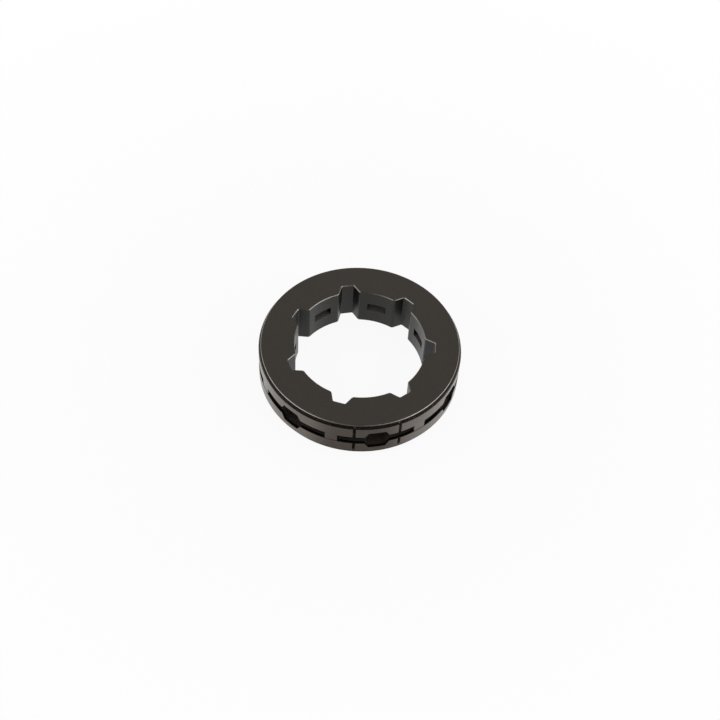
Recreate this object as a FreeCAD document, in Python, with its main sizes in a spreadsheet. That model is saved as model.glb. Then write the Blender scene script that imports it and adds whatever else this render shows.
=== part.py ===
import FreeCAD, Part
import Sketcher
import os

# Chainsaw rim sprocket: a loose steel ring that drives the saw chain.
#
# The ring slides on the splined hub of a clutch drum, whose keys fill the notches of its bore.  The straps
# of the chain ride on the two rails of the rim.  Its drive links drop between the rails into the windows,
# and the bridges between the windows push them along as teeth.  Each window widens into a chip pocket and
# opens through a narrow throat into the bore, so that sawdust can leave.
#
# Frame: the ring lies on its lower face at Z = 0 with its axis on Z, and the window that has the two wear
# grooves faces -Y.  Lengths are in millimetres and angles in degrees.

# Driving sizes: name, value, what it measures
SIZES = (
    ("tooth_count", 7, "teeth, windows and spline notches"),
    ("outer_diameter", 35.0, "over the rails"),
    ("ring_height", 7.85, "between the two flat faces"),
    ("ledge_depth", 0.8, "from a flat face down to the ledge where its rail ends"),
    ("ledge_width", 0.36, "flat width of that ledge"),
    ("face_chamfer", 0.08, "edge break round the flat face, at 45 degrees"),
    ("land_diameter", 22.64, "across the lands of the bore"),
    ("notch_depth", 1.65, "from the lands out to the floor corners of the spline notches"),
    ("notch_floor_width", 2.12, "across the floor of a notch"),
    ("notch_flank_angle", 24.4, "between a notch flank and the middle of its notch"),
    ("land_corner_radius", 0.6, "rounding where a notch flank meets a land"),
    ("notch_corner_radius", 0.3, "rounding where a notch flank meets its floor"),
    ("bore_chamfer", 0.13, "edge break round the bore, on both faces"),
    ("tooth_crest_width", 2.1, "chord of the bridge between two windows"),
    ("tooth_crest_recess", 0.05, "from the rails down to the crest of a bridge"),
    ("slot_height", 1.8, "between the two rails"),
    ("throat_width", 3.4, "opening from a window into the bore"),
    ("throat_length", 1.1, "wall of the bore that the throat goes through"),
    ("pocket_height", 4.1, "chip pocket, between its flat sides"),
    ("pocket_flat_width", 2.9, "width of those flat sides"),
    ("pocket_waist_width", 4.2, "chip pocket, at the height of the slot"),
    ("pocket_depth", 4.6, "chip pocket, inwards from the rim"),
    ("wear_groove_width", 0.54, "two V grooves across the rails of one window, at their mouths"),
    ("wear_groove_depth", 0.46, "those grooves, inwards from the rails"),
)

doc = FreeCAD.newDocument("RimSprocket")
sheet = doc.addObject("Spreadsheet::Sheet", "Sizes")
for row, (alias, number, note) in enumerate(SIZES, start=1):
    sheet.set(f"A{row}", note)
    sheet.set(f"B{row}", str(number))
    sheet.setAlias(f"B{row}", alias)
doc.recompute()

# Sizes that follow from the driving ones, written as expressions
HEIGHT = "Sizes.ring_height"
MIDDLE = "(Sizes.ring_height / 2)"
RIM_RADIUS = "(Sizes.outer_diameter / 2)"
LEDGE_RADIUS = f"({RIM_RADIUS} - Sizes.ledge_width)"
FACE_RADIUS = f"({LEDGE_RADIUS} - Sizes.face_chamfer)"
CREST_RADIUS = f"({RIM_RADIUS} - Sizes.tooth_crest_recess)"
LAND_RADIUS = "(Sizes.land_diameter / 2)"
NOTCH_RADIUS = f"({LAND_RADIUS} + Sizes.notch_depth)"
TOOTH_PITCH = "(360 deg / Sizes.tooth_count)"

# A cut that is open at the rim ends this far from the axis, well past the rim
PAST_RIM = "Sizes.outer_diameter"

# Two places nearer to each other than this are the same place
TOLERANCE = 1e-4

body = doc.addObject("PartDesign::Body", "rim_sprocket")
body.Label = "rim_sprocket"
origin = {feature.Role: feature for feature in body.Origin.OriginFeatures}


def value(expression):
    """The number that an expression gives for the sizes in the sheet."""
    result = sheet.evalExpression(expression)
    return float(getattr(result, "Value", result))


def sketch_on(plane, name, offset="0"):
    """An empty sketch on one of the body's origin planes, moved along that plane's normal."""
    sketch = body.newObject("Sketcher::SketchObject", name)
    sketch.AttachmentSupport = [(origin[plane], "")]
    sketch.MapMode = "FlatFace"
    sketch.setExpression("AttachmentOffset.Base.z", offset)
    return sketch


def draw_outline(sketch, corners):
    """A closed outline of straight lines, with both coordinates of each corner tied to the sheet."""
    points = [FreeCAD.Vector(value(x), value(y), 0) for x, y in corners]
    count = len(points)
    for line in range(count):
        sketch.addGeometry(Part.LineSegment(points[line], points[(line + 1) % count]))
    for line in range(count):
        sketch.addConstraint(Sketcher.Constraint("Coincident", line, 2, (line + 1) % count, 1))
    for line, corner in enumerate(corners):
        for direction, expression in zip(("DistanceX", "DistanceY"), corner):
            distance = Sketcher.Constraint(direction, -1, 1, line, 1, value(expression))
            number = sketch.addConstraint(distance)
            sketch.setExpression(f"Constraints[{number}]", expression)


def both_sides(right_corners):
    """The corners on the right of a sketch's vertical axis, then their mirror images on its left."""
    left_corners = [(f"-({x})", y) for x, y in reversed(right_corners)]
    return list(right_corners) + left_corners


def finish(feature, base=None):
    """Make a feature the last of the body, and see that it added to its base or cut from it."""
    body.Tip = feature
    doc.recompute()
    change = feature.Shape.Volume - (base.Shape.Volume if base else 0.0)
    if abs(change) < TOLERANCE:
        raise RuntimeError(f"{feature.Name} did not change the shape")
    return feature


def edges_where(feature, wanted):
    """Names of a feature's edges that pass a test."""
    return [f"Edge{number}" for number, edge in enumerate(feature.Shape.Edges, start=1) if wanted(edge)]


# Blank: a plain ring, with a shoulder and a narrow ledge where each flat face meets its rail
ring_section = sketch_on("XZ_Plane", "RingSection")
draw_outline(ring_section, (
    (LAND_RADIUS, "0"),
    (FACE_RADIUS, "0"),
    (LEDGE_RADIUS, "Sizes.face_chamfer"),
    (LEDGE_RADIUS, "Sizes.ledge_depth"),
    (RIM_RADIUS, "Sizes.ledge_depth"),
    (RIM_RADIUS, f"{HEIGHT} - Sizes.ledge_depth"),
    (LEDGE_RADIUS, f"{HEIGHT} - Sizes.ledge_depth"),
    (LEDGE_RADIUS, f"{HEIGHT} - Sizes.face_chamfer"),
    (FACE_RADIUS, HEIGHT),
    (LAND_RADIUS, HEIGHT),
))
ring = body.newObject("PartDesign::Revolution", "Ring")
ring.Profile = ring_section
ring.ReferenceAxis = (origin["Z_Axis"], [""])
finish(ring)

# Spline notches: open to the bore and wider there, one in line with each tooth
notch_floor = f"sqrt({NOTCH_RADIUS} ^ 2 - (Sizes.notch_floor_width / 2) ^ 2)"
flank_spread = f"{notch_floor} * tan(Sizes.notch_flank_angle * 1 deg)"
notch_outline = sketch_on("XY_Plane", "NotchOutline")
draw_outline(notch_outline, both_sides((
    (f"Sizes.notch_floor_width / 2 + {flank_spread}", "0"),
    ("Sizes.notch_floor_width / 2", notch_floor),
)))
notch = body.newObject("PartDesign::Pocket", "Notch")
notch.Profile = notch_outline
notch.Type = "ThroughAll"
notch.Reversed = True
finish(notch, base=ring)
notches = body.newObject("PartDesign::PolarPattern", "Notches")
notches.Originals = [notch]
notches.Axis = (origin["Z_Axis"], [""])
notches.setExpression("Occurrences", "Sizes.tooth_count")
finish(notches, base=notch)


def upright_edges(feature, radius):
    """Names of a feature's upright edges from face to face at a distance from the axis."""
    def wanted(edge):
        upright = edge.BoundBox.ZLength > value(HEIGHT) - TOLERANCE
        middle = edge.CenterOfMass
        return upright and abs(middle.x ** 2 + middle.y ** 2 - value(radius) ** 2) < TOLERANCE
    return edges_where(feature, wanted)


land_corners = body.newObject("PartDesign::Fillet", "LandCorners")
land_corners.Base = (notches, upright_edges(notches, LAND_RADIUS))
land_corners.setExpression("Radius", "Sizes.land_corner_radius")
finish(land_corners, base=notches)
notch_corners = body.newObject("PartDesign::Fillet", "NotchCorners")
notch_corners.Base = (land_corners, upright_edges(land_corners, NOTCH_RADIUS))
notch_corners.setExpression("Radius", "Sizes.notch_corner_radius")
finish(notch_corners, base=land_corners)


def is_bore_edge(edge):
    """Whether an edge lies in a flat face of the ring and belongs to the bore."""
    in_face = edge.BoundBox.ZLength < TOLERANCE
    middle = edge.valueAt((edge.FirstParameter + edge.LastParameter) / 2)
    at_face = min(abs(middle.z), abs(middle.z - value(HEIGHT))) < TOLERANCE
    return in_face and at_face and middle.x ** 2 + middle.y ** 2 < value(NOTCH_RADIUS) ** 2 + TOLERANCE


bore_edges = body.newObject("PartDesign::Chamfer", "BoreEdges")
bore_edges.Base = (notch_corners, edges_where(notch_corners, is_bore_edge))
bore_edges.setExpression("Size", "Sizes.bore_chamfer")
finish(bore_edges, base=notch_corners)

# Crests: a shallow groove round the middle of the rim, which leaves the two rails
slot_bottom = f"{MIDDLE} - Sizes.slot_height / 2"
slot_top = f"{MIDDLE} + Sizes.slot_height / 2"
crest_section = sketch_on("XZ_Plane", "CrestSection")
draw_outline(crest_section, (
    (CREST_RADIUS, slot_bottom),
    (PAST_RIM, slot_bottom),
    (PAST_RIM, slot_top),
    (CREST_RADIUS, slot_top),
))
crests = body.newObject("PartDesign::Groove", "Crests")
crests.Profile = crest_section
crests.ReferenceAxis = (origin["Z_Axis"], [""])
finish(crests, base=bore_edges)

# Windows: a slot between the rails, from tooth to tooth at the rim and down to the throat at the bore
window_half_angle = f"({TOOTH_PITCH} / 2 - asin(Sizes.tooth_crest_width / 2 / {CREST_RADIUS}))"
tooth_corner = (f"{CREST_RADIUS} * sin({window_half_angle})", f"-{CREST_RADIUS} * cos({window_half_angle})")
throat_side = "Sizes.throat_width / 2"
window_outline = sketch_on("XY_Plane", "WindowOutline", offset=MIDDLE)
draw_outline(window_outline, both_sides((
    (throat_side, "0"),
    (throat_side, f"-({LAND_RADIUS} + Sizes.throat_length)"),
    tooth_corner,
    (tooth_corner[0], f"-{PAST_RIM}"),
)))
window = body.newObject("PartDesign::Pocket", "Window")
window.Profile = window_outline
window.SideType = "Symmetric"
window.setExpression("Length", "Sizes.slot_height")
finish(window, base=crests)

# Chip pockets: the middle of each window, widened both up and down
pocket_outline = sketch_on("XZ_Plane", "PocketOutline", offset=RIM_RADIUS)
draw_outline(pocket_outline, both_sides((
    ("Sizes.pocket_flat_width / 2", f"{MIDDLE} - Sizes.pocket_height / 2"),
    ("Sizes.pocket_waist_width / 2", slot_bottom),
    ("Sizes.pocket_waist_width / 2", slot_top),
    ("Sizes.pocket_flat_width / 2", f"{MIDDLE} + Sizes.pocket_height / 2"),
)))
pocket = body.newObject("PartDesign::Pocket", "ChipPocket")
pocket.Profile = pocket_outline
pocket.setExpression("Length", "Sizes.pocket_depth")
finish(pocket, base=window)
windows = body.newObject("PartDesign::PolarPattern", "Windows")
windows.Originals = [window, pocket]
windows.Axis = (origin["Z_Axis"], [""])
windows.setExpression("Occurrences", "Sizes.tooth_count")
finish(windows, base=pocket)

# Wear grooves: an upright V groove across both rails, a quarter of the pitch each side of one window
groove_outline = sketch_on("XY_Plane", "GrooveOutline", offset=MIDDLE)
groove_outline.AttachmentOffset = FreeCAD.Placement(FreeCAD.Vector(), FreeCAD.Vector(0, 0, 1), 0)
groove_outline.setExpression("AttachmentOffset.Rotation.Angle", f"{TOOTH_PITCH} / 4")
groove_outer_end = f"-({RIM_RADIUS} + Sizes.wear_groove_depth)"
draw_outline(groove_outline, (
    ("Sizes.wear_groove_width", groove_outer_end),
    ("0", f"-({RIM_RADIUS} - Sizes.wear_groove_depth)"),
    ("-Sizes.wear_groove_width", groove_outer_end),
))
groove = body.newObject("PartDesign::Pocket", "WearGroove")
groove.Profile = groove_outline
groove.SideType = "Symmetric"
groove.setExpression("Length", f"{HEIGHT} - 2 * Sizes.ledge_depth")
finish(groove, base=windows)
grooves = body.newObject("PartDesign::Mirrored", "WearGrooves")
grooves.Originals = [groove]
grooves.MirrorPlane = (origin["YZ_Plane"], [""])
finish(grooves, base=groove)

# The finished ring, tested and written
failed = [item.Name for item in doc.Objects if "Invalid" in item.State or "Error" in item.State]
if failed:
    raise RuntimeError(f"not built: {', '.join(failed)}")
if body.Shape.isNull() or not body.Shape.isValid() or len(body.Shape.Solids) != 1:
    raise RuntimeError("the ring is not one valid solid")
os.makedirs("parts", exist_ok=True)
body.Shape.exportStep(f"parts/{body.Label}.step")
print(f"{body.Label}: {body.Shape.Volume:.1f} cubic mm, {len(body.Shape.Faces)} faces")
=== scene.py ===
import math
import bpy
from mathutils import Matrix, Vector


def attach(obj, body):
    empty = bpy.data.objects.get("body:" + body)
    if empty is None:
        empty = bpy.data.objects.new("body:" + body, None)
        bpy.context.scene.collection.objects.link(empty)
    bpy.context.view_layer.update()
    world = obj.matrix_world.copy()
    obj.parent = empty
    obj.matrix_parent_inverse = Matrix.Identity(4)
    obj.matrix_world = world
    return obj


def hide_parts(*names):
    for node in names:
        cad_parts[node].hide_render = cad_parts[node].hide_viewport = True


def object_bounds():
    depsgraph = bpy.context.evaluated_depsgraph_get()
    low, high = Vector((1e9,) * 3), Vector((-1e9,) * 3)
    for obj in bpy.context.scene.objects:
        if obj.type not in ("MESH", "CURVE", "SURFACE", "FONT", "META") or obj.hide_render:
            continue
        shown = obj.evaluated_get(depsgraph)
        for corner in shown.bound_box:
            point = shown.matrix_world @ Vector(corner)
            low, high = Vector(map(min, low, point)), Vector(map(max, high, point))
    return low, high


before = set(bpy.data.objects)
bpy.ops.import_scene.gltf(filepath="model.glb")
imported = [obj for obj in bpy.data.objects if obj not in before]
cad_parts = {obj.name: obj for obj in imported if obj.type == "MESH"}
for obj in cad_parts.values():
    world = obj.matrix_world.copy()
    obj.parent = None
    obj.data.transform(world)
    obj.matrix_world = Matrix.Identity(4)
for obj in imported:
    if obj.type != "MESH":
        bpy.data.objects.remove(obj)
cad_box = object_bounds()

# The ring is one piece of alloy steel, moulded from powder with its windows and bore, sintered, ground on
# its faces and rails, hardened, blackened and oiled.  Nothing fastens it: it floats on the clutch drum's hub.
# Its mesh is the construction model's, with the hairline break that finishing leaves on sharp edges.
MM = 0.001
EDGE_BREAK = 0.05 * MM
EDGE_BREAK_STEPS = 2
SHARP_EDGE = math.radians(25)
ROUND_STEP = math.radians(10)   # rounded corners turn by less than this from face to face
SAME_PLACE = 0.001 * MM
SAME_PLANE = math.radians(0.5)

ring = bpy.data.objects.new("ring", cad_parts["rim_sprocket"].data.copy())
bpy.context.scene.collection.objects.link(ring)
bpy.ops.object.select_all(action="DESELECT")
ring.select_set(True)
bpy.context.view_layer.objects.active = ring
bpy.ops.object.mode_set(mode="EDIT")
bpy.ops.mesh.select_all(action="SELECT")
bpy.ops.mesh.customdata_custom_splitnormals_clear()
bpy.ops.mesh.remove_doubles(threshold=SAME_PLACE)
bpy.ops.mesh.dissolve_limited(angle_limit=SAME_PLANE)
bpy.ops.object.mode_set(mode="OBJECT")
edge_break = ring.modifiers.new("edge_break", "BEVEL")
edge_break.width = EDGE_BREAK
edge_break.segments = EDGE_BREAK_STEPS
edge_break.limit_method = "ANGLE"
edge_break.angle_limit = SHARP_EDGE
bpy.ops.object.modifier_apply(modifier=edge_break.name)
bpy.ops.object.shade_smooth_by_angle(angle=ROUND_STEP)


def colour(hex_value):
    """An sRGB hex colour as the linear colour that a shader takes."""
    channels = [int(hex_value[i:i + 2], 16) / 255 for i in (1, 3, 5)]
    linear = [c / 12.92 if c <= 0.04045 else ((c + 0.055) / 1.055) ** 2.4 for c in channels]
    return (*linear, 1.0)


def add_node(tree, kind, inputs, **settings):
    """Adds a node with its settings, and gives each named input another node's output or a plain value."""
    node = tree.nodes.new(kind)
    for name, setting in settings.items():
        setattr(node, name, setting)
    for name, source in inputs.items():
        if isinstance(source, bpy.types.NodeSocket):
            tree.links.new(source, node.inputs[name])
        else:
            node.inputs[name].default_value = source
    return node


# Blackened steel: a thin brown-black oxide over hardened steel, under a film of oil.  Ground faces and rails
# are satin, with faint turning lines; the rails are given a paler colour than the faces, painted light.  The
# bore and windows keep the duller skin of the sintering; the windows, and the throats still more, are given
# paler colours, painted light where they would otherwise render nearly black.  Edges are paler, partly oxide
# rubbed off and partly painted highlight, less so in the bore.  Grain and pores break up the gloss.
FACE_COLOUR = "#261F16"
# the rails' paler colour is painted light, for the brighter reflections along the rails
RAIL_PAINTED_LIGHT_COLOUR = "#4E4338"
BORE_COLOUR = "#1F1D1B"
# the windows and throats are paler than the bore's skin: painted light where they would render nearly black
WINDOW_PAINTED_LIGHT_COLOUR = "#4A4540"
THROAT_PAINTED_LIGHT_COLOUR = "#67635F"
# paler steel on the chamfered edges: partly rubbed-off oxide, partly painted highlight
RUBBED_AND_HIGHLIT_COLOUR = "#BCB6B0"
SINTERED_RADIUS = 17.0 * MM     # inside this, and between the faces, nothing is ground
SINTERED_HALF_HEIGHT = 3.78 * MM
RAIL_RADIUS = 17.3 * MM
WINDOW_RADIUS = 12.98 * MM      # just outside the floors of the spline notches
PALE_EDGE_HALF_HEIGHT = 3.0 * MM   # edges nearer the middle than this lie in the windows and are not made paler
BLEND = 0.06 * MM
CLOUD_SIZE = 4.0 * MM
GRAIN_SIZE = 0.22 * MM          # true grain is about 0.05 mm, too fine to show at the photo's distance
TURNING_PITCH = 0.12 * MM
PORE_SPACING = 0.7 * MM
PORE_REACH = 0.12               # of the pore spacing
NOISE_SPREAD = (0.3, 0.7)       # the part of its range that a noise pattern mostly fills
WALL_TILT = (0.1, 0.4)          # upward part of the normal, where a wall turns into an edge
FACE_TILT = (0.85, 0.6)         # the same, where a flat face turns into an edge
PATCH_SPREAD = (0.40, 0.55)     # of the clouds, from least to most rubbed
PATCH_EDGE_SHARE = 0.8                # share of the paler edge, rubbed oxide and painted highlight, where it is least
BORE_EDGE_SHARE = 0.55                # share of the paler edge on the edges of the bore
CLOUD_TONE = (0.93, 1.07)
GRAIN_TONE = (0.82, 1.18)
PORE_TONE = 0.55
SATIN = (0.33, 0.41)            # roughness of the ground steel
SINTERED_DULLNESS = 0.1
WINDOW_DULLNESS = 0.25
PORE_DULLNESS = 0.25
RUBBED_POLISH = 0.15
TURNING_DEPTH = 0.5             # of the grain's
RELIEF = 0.006 * MM
GROUND_OIL = 0.62
SINTERED_OIL = 0.35
OIL_ROUGHNESS = 0.3

steel = bpy.data.materials.new("blackened_ground_steel")
steel.use_nodes = True
steel_nodes = steel.node_tree
steel_nodes.nodes.clear()

# where a point lies on the ring: on a rail, a face, the bore or a window
place = add_node(steel_nodes, "ShaderNodeTexCoord", {}).outputs["Object"]
flat_place = add_node(steel_nodes, "ShaderNodeVectorMath", {
    0: place, 1: (1, 1, 0),
}, operation="MULTIPLY").outputs[0]
radius = add_node(steel_nodes, "ShaderNodeVectorMath", {0: flat_place}, operation="LENGTH").outputs["Value"]
height = add_node(steel_nodes, "ShaderNodeSeparateXYZ", {0: place}).outputs["Z"]
middle_height = (cad_box[0].z + cad_box[1].z) / 2
off_middle = add_node(steel_nodes, "ShaderNodeMath", {
    0: height, 1: middle_height,
}, operation="SUBTRACT").outputs[0]
from_middle = add_node(steel_nodes, "ShaderNodeMath", {0: off_middle}, operation="ABSOLUTE").outputs[0]
inside_rim = add_node(steel_nodes, "ShaderNodeMapRange", {
    "Value": radius, "From Min": SINTERED_RADIUS, "From Max": SINTERED_RADIUS - BLEND,
}).outputs[0]
between_faces = add_node(steel_nodes, "ShaderNodeMapRange", {
    "Value": from_middle, "From Min": SINTERED_HALF_HEIGHT, "From Max": SINTERED_HALF_HEIGHT - BLEND,
}).outputs[0]
as_sintered = add_node(steel_nodes, "ShaderNodeMath", {
    0: inside_rim, 1: between_faces,
}, operation="MULTIPLY").outputs[0]
on_rail = add_node(steel_nodes, "ShaderNodeMapRange", {
    "Value": radius, "From Min": RAIL_RADIUS, "From Max": RAIL_RADIUS + BLEND,
}).outputs[0]
past_bore = add_node(steel_nodes, "ShaderNodeMapRange", {
    "Value": radius, "From Min": WINDOW_RADIUS, "From Max": WINDOW_RADIUS + BLEND,
}).outputs[0]
normal = add_node(steel_nodes, "ShaderNodeNewGeometry", {}).outputs["Normal"]
upward = add_node(steel_nodes, "ShaderNodeSeparateXYZ", {0: normal}).outputs["Z"]
flatness = add_node(steel_nodes, "ShaderNodeMath", {0: upward}, operation="ABSOLUTE").outputs[0]
off_wall = add_node(steel_nodes, "ShaderNodeMapRange", {
    "Value": flatness, "From Min": WALL_TILT[0], "From Max": WALL_TILT[1],
}).outputs[0]
off_face = add_node(steel_nodes, "ShaderNodeMapRange", {
    "Value": flatness, "From Min": FACE_TILT[0], "From Max": FACE_TILT[1],
}).outputs[0]
off_land = add_node(steel_nodes, "ShaderNodeMath", {
    0: past_bore, 1: off_wall,
}, operation="MAXIMUM").outputs[0]
in_window = add_node(steel_nodes, "ShaderNodeMath", {
    0: off_land, 1: as_sintered,
}, operation="MULTIPLY").outputs[0]

# the patterns in the steel: clouds of oxide, grain, turning lines and pores
clouds = add_node(steel_nodes, "ShaderNodeTexNoise", {
    "Vector": place, "Scale": 1 / CLOUD_SIZE, "Detail": 4.0, "Roughness": 0.6,
}).outputs["Fac"]
grain = add_node(steel_nodes, "ShaderNodeTexNoise", {
    "Vector": place, "Scale": 1 / GRAIN_SIZE, "Detail": 2.0, "Roughness": 0.7,
}).outputs["Fac"]
round_axis = add_node(steel_nodes, "ShaderNodeCombineXYZ", {"X": radius, "Z": height}).outputs[0]
turning = add_node(steel_nodes, "ShaderNodeTexNoise", {
    "Vector": round_axis, "Scale": 1 / TURNING_PITCH, "Detail": 1.0,
}).outputs["Fac"]
pore_distance = add_node(steel_nodes, "ShaderNodeTexVoronoi", {
    "Vector": place, "Scale": 1 / PORE_SPACING,
}).outputs["Distance"]
pore = add_node(steel_nodes, "ShaderNodeMapRange", {
    "Value": pore_distance, "From Min": PORE_REACH, "From Max": PORE_REACH / 2,
}).outputs[0]

# how much paler the edges of the faces are: partly oxide rubbed off, partly painted highlight
near_face = add_node(steel_nodes, "ShaderNodeMapRange", {
    "Value": from_middle, "From Min": PALE_EDGE_HALF_HEIGHT, "From Max": PALE_EDGE_HALF_HEIGHT + BLEND,
}).outputs[0]
slope = add_node(steel_nodes, "ShaderNodeMath", {0: off_wall, 1: off_face}, operation="MULTIPLY").outputs[0]
corner = add_node(steel_nodes, "ShaderNodeMath", {0: slope, 1: near_face}, operation="MULTIPLY").outputs[0]
patches = add_node(steel_nodes, "ShaderNodeMapRange", {
    "Value": clouds, "From Min": PATCH_SPREAD[0], "From Max": PATCH_SPREAD[1],
    "To Min": PATCH_EDGE_SHARE, "To Max": 1.0,
}).outputs[0]
edge_share = add_node(steel_nodes, "ShaderNodeMath", {
    0: past_bore, 1: 1 - BORE_EDGE_SHARE, 2: BORE_EDGE_SHARE,
}, operation="MULTIPLY_ADD").outputs[0]
shared_edges = add_node(steel_nodes, "ShaderNodeMath", {0: corner, 1: edge_share}, operation="MULTIPLY").outputs[0]
rubbed_and_highlit = add_node(steel_nodes, "ShaderNodeMath", {0: shared_edges, 1: patches}, operation="MULTIPLY").outputs[0]

# its colour, with the tone that the patterns give it
# the faces' steel, and on the rails a paler one that is painted light
faces_and_lit_rails = add_node(steel_nodes, "ShaderNodeMix", {
    0: on_rail, 6: colour(FACE_COLOUR), 7: colour(RAIL_PAINTED_LIGHT_COLOUR),
}, data_type="RGBA").outputs[2]
# painted light in the windows, brightest in the throats
window_painted_light = add_node(steel_nodes, "ShaderNodeMix", {
    0: past_bore, 6: colour(THROAT_PAINTED_LIGHT_COLOUR), 7: colour(WINDOW_PAINTED_LIGHT_COLOUR),
}, data_type="RGBA").outputs[2]
sintered = add_node(steel_nodes, "ShaderNodeMix", {
    0: in_window, 6: colour(BORE_COLOUR), 7: window_painted_light,
}, data_type="RGBA").outputs[2]
skin = add_node(steel_nodes, "ShaderNodeMix", {
    0: as_sintered, 6: faces_and_lit_rails, 7: sintered,
}, data_type="RGBA").outputs[2]
# the edges made paler: partly rubbed oxide, partly painted highlight
worn_and_highlit = add_node(steel_nodes, "ShaderNodeMix", {
    0: rubbed_and_highlit, 6: skin, 7: colour(RUBBED_AND_HIGHLIT_COLOUR),
}, data_type="RGBA").outputs[2]
cloud_tone = add_node(steel_nodes, "ShaderNodeMapRange", {
    "Value": clouds, "From Min": NOISE_SPREAD[0], "From Max": NOISE_SPREAD[1],
    "To Min": CLOUD_TONE[0], "To Max": CLOUD_TONE[1],
}).outputs[0]
grain_tone = add_node(steel_nodes, "ShaderNodeMapRange", {
    "Value": grain, "From Min": NOISE_SPREAD[0], "From Max": NOISE_SPREAD[1],
    "To Min": GRAIN_TONE[0], "To Max": GRAIN_TONE[1],
}).outputs[0]
pore_tone = add_node(steel_nodes, "ShaderNodeMapRange", {
    "Value": pore, "To Min": 1.0, "To Max": PORE_TONE,
}).outputs[0]
mottled_tone = add_node(steel_nodes, "ShaderNodeMath", {
    0: cloud_tone, 1: grain_tone,
}, operation="MULTIPLY").outputs[0]
tone = add_node(steel_nodes, "ShaderNodeMath", {
    0: mottled_tone, 1: pore_tone,
}, operation="MULTIPLY").outputs[0]
tinted = add_node(steel_nodes, "ShaderNodeVectorMath", {0: worn_and_highlit, "Scale": tone}, operation="SCALE").outputs[0]

# its gloss, relief and oil
satin = add_node(steel_nodes, "ShaderNodeMapRange", {
    "Value": clouds, "From Min": NOISE_SPREAD[0], "From Max": NOISE_SPREAD[1],
    "To Min": SATIN[0], "To Max": SATIN[1],
}).outputs[0]
bore_dullness = add_node(steel_nodes, "ShaderNodeMath", {
    0: as_sintered, 1: SINTERED_DULLNESS, 2: satin,
}, operation="MULTIPLY_ADD").outputs[0]
window_dullness = add_node(steel_nodes, "ShaderNodeMath", {
    0: in_window, 1: WINDOW_DULLNESS, 2: bore_dullness,
}, operation="MULTIPLY_ADD").outputs[0]
pore_dullness = add_node(steel_nodes, "ShaderNodeMath", {
    0: pore, 1: PORE_DULLNESS, 2: window_dullness,
}, operation="MULTIPLY_ADD").outputs[0]
roughness = add_node(steel_nodes, "ShaderNodeMath", {
    0: rubbed_and_highlit, 1: -RUBBED_POLISH, 2: pore_dullness,
}, operation="MULTIPLY_ADD").outputs[0]
lines = add_node(steel_nodes, "ShaderNodeMath", {
    0: turning, 1: TURNING_DEPTH, 2: grain,
}, operation="MULTIPLY_ADD").outputs[0]
relief = add_node(steel_nodes, "ShaderNodeMath", {0: lines, 1: pore}, operation="SUBTRACT").outputs[0]
bump = add_node(steel_nodes, "ShaderNodeBump", {
    "Height": relief, "Strength": 1.0, "Distance": RELIEF,
}).outputs[0]
oil = add_node(steel_nodes, "ShaderNodeMath", {
    0: as_sintered, 1: SINTERED_OIL - GROUND_OIL, 2: GROUND_OIL,
}, operation="MULTIPLY_ADD").outputs[0]
oiled_steel = add_node(steel_nodes, "ShaderNodeBsdfPrincipled", {
    "Base Color": tinted, "Metallic": 1.0, "Roughness": roughness, "Normal": bump,
    "Coat Weight": oil, "Coat Roughness": OIL_ROUGHNESS, "Coat Normal": bump,
}).outputs["BSDF"]
add_node(steel_nodes, "ShaderNodeOutputMaterial", {"Surface": oiled_steel})
ring.data.materials.clear()
ring.data.materials.append(steel)
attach(ring, "root")
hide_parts("rim_sprocket")

# The floor is a table top of plain white, matt laminate, far larger than the view, and the ring lies on it.
# It shows white to the eye and in the steel, and keeps the ring's soft shadow.  On the camera's side the glow
# that the steel sees is taken away: a painted shadow on the table, which only the steel mirrors.
FLOOR_SIZE = 20.0
FLOOR_COLOUR = "#FAFAFA"
WHITE = "#FFFFFF"
FLOOR_GLOW = 0.92               # near the ring, where its shadow shows; farther off the table is plain white
SHADOW_REACH = 30 * MM
PLAIN_REACH = 120 * MM
DARK_SIDE_AZIMUTH = math.radians(-11)
DARK_SIDE_CORE = math.radians(16)
DARK_SIDE_EDGE = math.radians(32)
FLOOR_PAINTED_SHADOW_LEVEL = 0.0


def towards(azimuth, elevation):
    """Direction from the ring to a viewer: azimuth 0 stands at -Y, and 90 at +X."""
    return Vector((
        math.sin(azimuth) * math.cos(elevation),
        -math.cos(azimuth) * math.cos(elevation),
        math.sin(elevation),
    ))


bpy.ops.object.select_all(action="DESELECT")
bpy.ops.mesh.primitive_plane_add(size=FLOOR_SIZE, location=(0, 0, cad_box[0].z))
floor = bpy.context.object
floor.name = "floor"

# White laminate: a matt, even white, which glows for the eye and for the steel so that it stays white, except
# where a painted shadow on the camera's side takes the glow away from what the steel mirrors.
laminate = bpy.data.materials.new("white_laminate")
laminate.use_nodes = True
floor_nodes = laminate.node_tree
floor_nodes.nodes.clear()
floor_ray = add_node(floor_nodes, "ShaderNodeLightPath", {}).outputs
floor_reflected = add_node(floor_nodes, "ShaderNodeMath", {
    0: floor_ray["Is Glossy Ray"], 1: floor_ray["Is Transmission Ray"],
}, operation="MAXIMUM").outputs[0]
floor_place = add_node(floor_nodes, "ShaderNodeTexCoord", {}).outputs["Object"]
floor_side = add_node(floor_nodes, "ShaderNodeVectorMath", {0: floor_place}, operation="NORMALIZE").outputs[0]
frontness = add_node(floor_nodes, "ShaderNodeVectorMath", {
    0: floor_side, 1: towards(DARK_SIDE_AZIMUTH, 0),
}, operation="DOT_PRODUCT").outputs["Value"]
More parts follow.
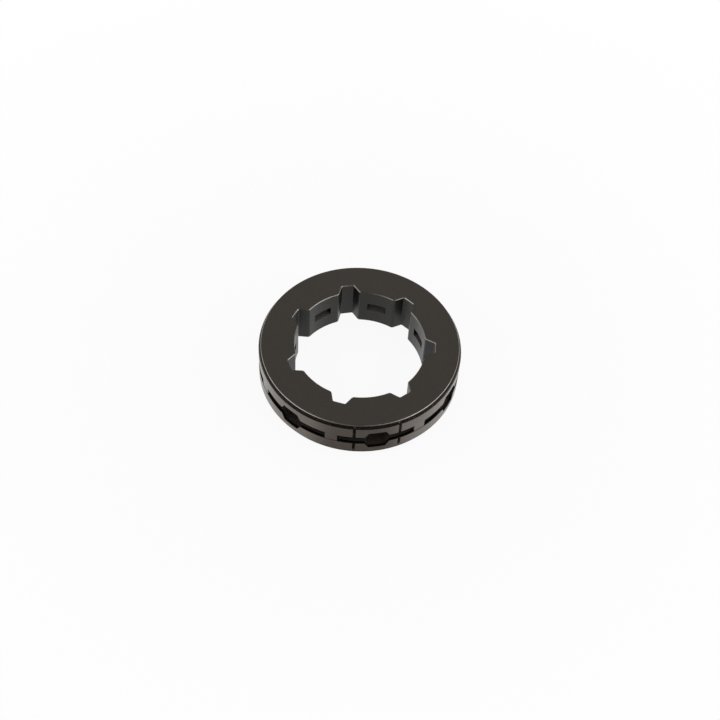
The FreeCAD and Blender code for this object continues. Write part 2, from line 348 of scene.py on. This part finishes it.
# the painted shadow on the camera's side, which takes away the glow that the steel mirrors
floor_painted_shadow = add_node(floor_nodes, "ShaderNodeMapRange", {
    "Value": frontness, "From Min": math.cos(DARK_SIDE_EDGE), "From Max": math.cos(DARK_SIDE_CORE),
    "To Min": 1.0, "To Max": FLOOR_PAINTED_SHADOW_LEVEL,
}).outputs[0]
mirrored = add_node(floor_nodes, "ShaderNodeMath", {
    0: floor_reflected, 1: floor_painted_shadow,
}, operation="MULTIPLY").outputs[0]
seen = add_node(floor_nodes, "ShaderNodeMath", {
    0: floor_ray["Is Camera Ray"], 1: mirrored,
}, operation="MAXIMUM").outputs[0]
reach = add_node(floor_nodes, "ShaderNodeVectorMath", {0: floor_place}, operation="LENGTH").outputs["Value"]
whiteness = add_node(floor_nodes, "ShaderNodeMapRange", {
    "Value": reach, "From Min": SHADOW_REACH, "From Max": PLAIN_REACH, "To Min": FLOOR_GLOW, "To Max": 1.0,
}).outputs[0]
glow_share = add_node(floor_nodes, "ShaderNodeMath", {0: seen, 1: whiteness}, operation="MULTIPLY").outputs[0]
matt = add_node(floor_nodes, "ShaderNodeBsdfDiffuse", {"Color": colour(FLOOR_COLOUR)}).outputs[0]
glow = add_node(floor_nodes, "ShaderNodeEmission", {"Color": colour(WHITE), "Strength": 1.0}).outputs[0]
table_top = add_node(floor_nodes, "ShaderNodeMixShader", {0: glow_share, 1: matt, 2: glow}).outputs[0]
add_node(floor_nodes, "ShaderNodeOutputMaterial", {"Surface": table_top})
floor.data.materials.append(laminate)

# The light is a pale room with two large soft boxes on stands, one at each side of the ring's front.
# The room is dark behind the camera: the edges and rails that face it mirror that and stay dull, while those
# at the sides mirror the boxes and shine.
HORIZON_LEVEL = 0.80
ZENITH_LEVEL = 0.45
DARK_SIDE_ELEVATION = math.radians(36)
DARK_ROOM_LEVEL = 0.05
SOFT_BOX_DISTANCE = 0.5
SOFT_BOX_SIZE = 0.40
SOFT_BOX_ELEVATION = math.radians(30)
SOFT_BOXES = (                  # name, azimuth and watts
    ("left_box", math.radians(-85), 0.48),
    ("right_box", math.radians(62), 0.70),
)

scene = bpy.context.scene
scene.view_settings.view_transform = "Standard"
room = bpy.data.worlds.new("pale_room")
scene.world = room
room.use_nodes = True
room_nodes = room.node_tree
room_nodes.nodes.clear()
direction = add_node(room_nodes, "ShaderNodeTexCoord", {}).outputs["Generated"]
rise = add_node(room_nodes, "ShaderNodeSeparateXYZ", {0: direction}).outputs["Z"]
room_level = add_node(room_nodes, "ShaderNodeMapRange", {
    "Value": rise, "To Min": HORIZON_LEVEL, "To Max": ZENITH_LEVEL,
}).outputs[0]
nearness = add_node(room_nodes, "ShaderNodeVectorMath", {
    0: direction, 1: towards(DARK_SIDE_AZIMUTH, DARK_SIDE_ELEVATION),
}, operation="DOT_PRODUCT").outputs["Value"]
room_shade = add_node(room_nodes, "ShaderNodeMapRange", {
    "Value": nearness, "From Min": math.cos(DARK_SIDE_EDGE), "From Max": math.cos(DARK_SIDE_CORE),
    "To Min": 1.0, "To Max": DARK_ROOM_LEVEL,
}).outputs[0]
room_ray = add_node(room_nodes, "ShaderNodeLightPath", {}).outputs
room_reflected = add_node(room_nodes, "ShaderNodeMath", {
    0: room_ray["Is Glossy Ray"], 1: room_ray["Is Transmission Ray"],
}, operation="MAXIMUM").outputs[0]
pale_level = add_node(room_nodes, "ShaderNodeMath", {
    0: room_level, 1: room_reflected,
}, operation="MAXIMUM").outputs[0]
shaded_level = add_node(room_nodes, "ShaderNodeMath", {
    0: pale_level, 1: room_shade,
}, operation="MULTIPLY").outputs[0]
strength = add_node(room_nodes, "ShaderNodeMath", {
    0: shaded_level, 1: room_ray["Is Camera Ray"],
}, operation="MAXIMUM").outputs[0]
walls = add_node(room_nodes, "ShaderNodeBackground", {
    "Color": colour(WHITE), "Strength": strength,
}).outputs[0]
add_node(room_nodes, "ShaderNodeOutputWorld", {"Surface": walls})

centre = (cad_box[0] + cad_box[1]) / 2
for name, azimuth, watts in SOFT_BOXES:
    lamp = bpy.data.lights.new(name, "AREA")
    lamp.size = SOFT_BOX_SIZE
    lamp.energy = watts
    soft_box = bpy.data.objects.new(name, lamp)
    scene.collection.objects.link(soft_box)
    outward = towards(azimuth, SOFT_BOX_ELEVATION)
    soft_box.location = centre + outward * SOFT_BOX_DISTANCE
    soft_box.rotation_euler = outward.to_track_quat("Z", "Y").to_euler()

# The camera stands above the ring's front and a little to its left, turned slightly, as it did for the photo.
# Its lens is a short telephoto, and a very small shift sets the ring in the photo's frame.
CAMERA_AZIMUTH = math.radians(-12.93)
CAMERA_ELEVATION = math.radians(53.14)
CAMERA_ROLL = math.radians(3.86)
CAMERA_DISTANCE = 0.2336

camera_data = bpy.data.cameras.new("camera")
camera_data.sensor_width = 36.0
camera_data.lens = 66.9
camera_data.shift_x = 0.00091
camera_data.shift_y = -0.00447
camera_data.clip_start = 0.001
camera = bpy.data.objects.new("camera", camera_data)
scene.collection.objects.link(camera)
scene.camera = camera
backward = towards(CAMERA_AZIMUTH, CAMERA_ELEVATION)
level_right = Vector((math.cos(CAMERA_AZIMUTH), math.sin(CAMERA_AZIMUTH), 0))
level_up = backward.cross(level_right)
right = level_right * math.cos(CAMERA_ROLL) + level_up * math.sin(CAMERA_ROLL)
up = level_up * math.cos(CAMERA_ROLL) - level_right * math.sin(CAMERA_ROLL)
turn = Matrix((right, up, backward)).transposed().to_4x4()
camera.matrix_world = Matrix.Translation(centre + backward * CAMERA_DISTANCE) @ turn
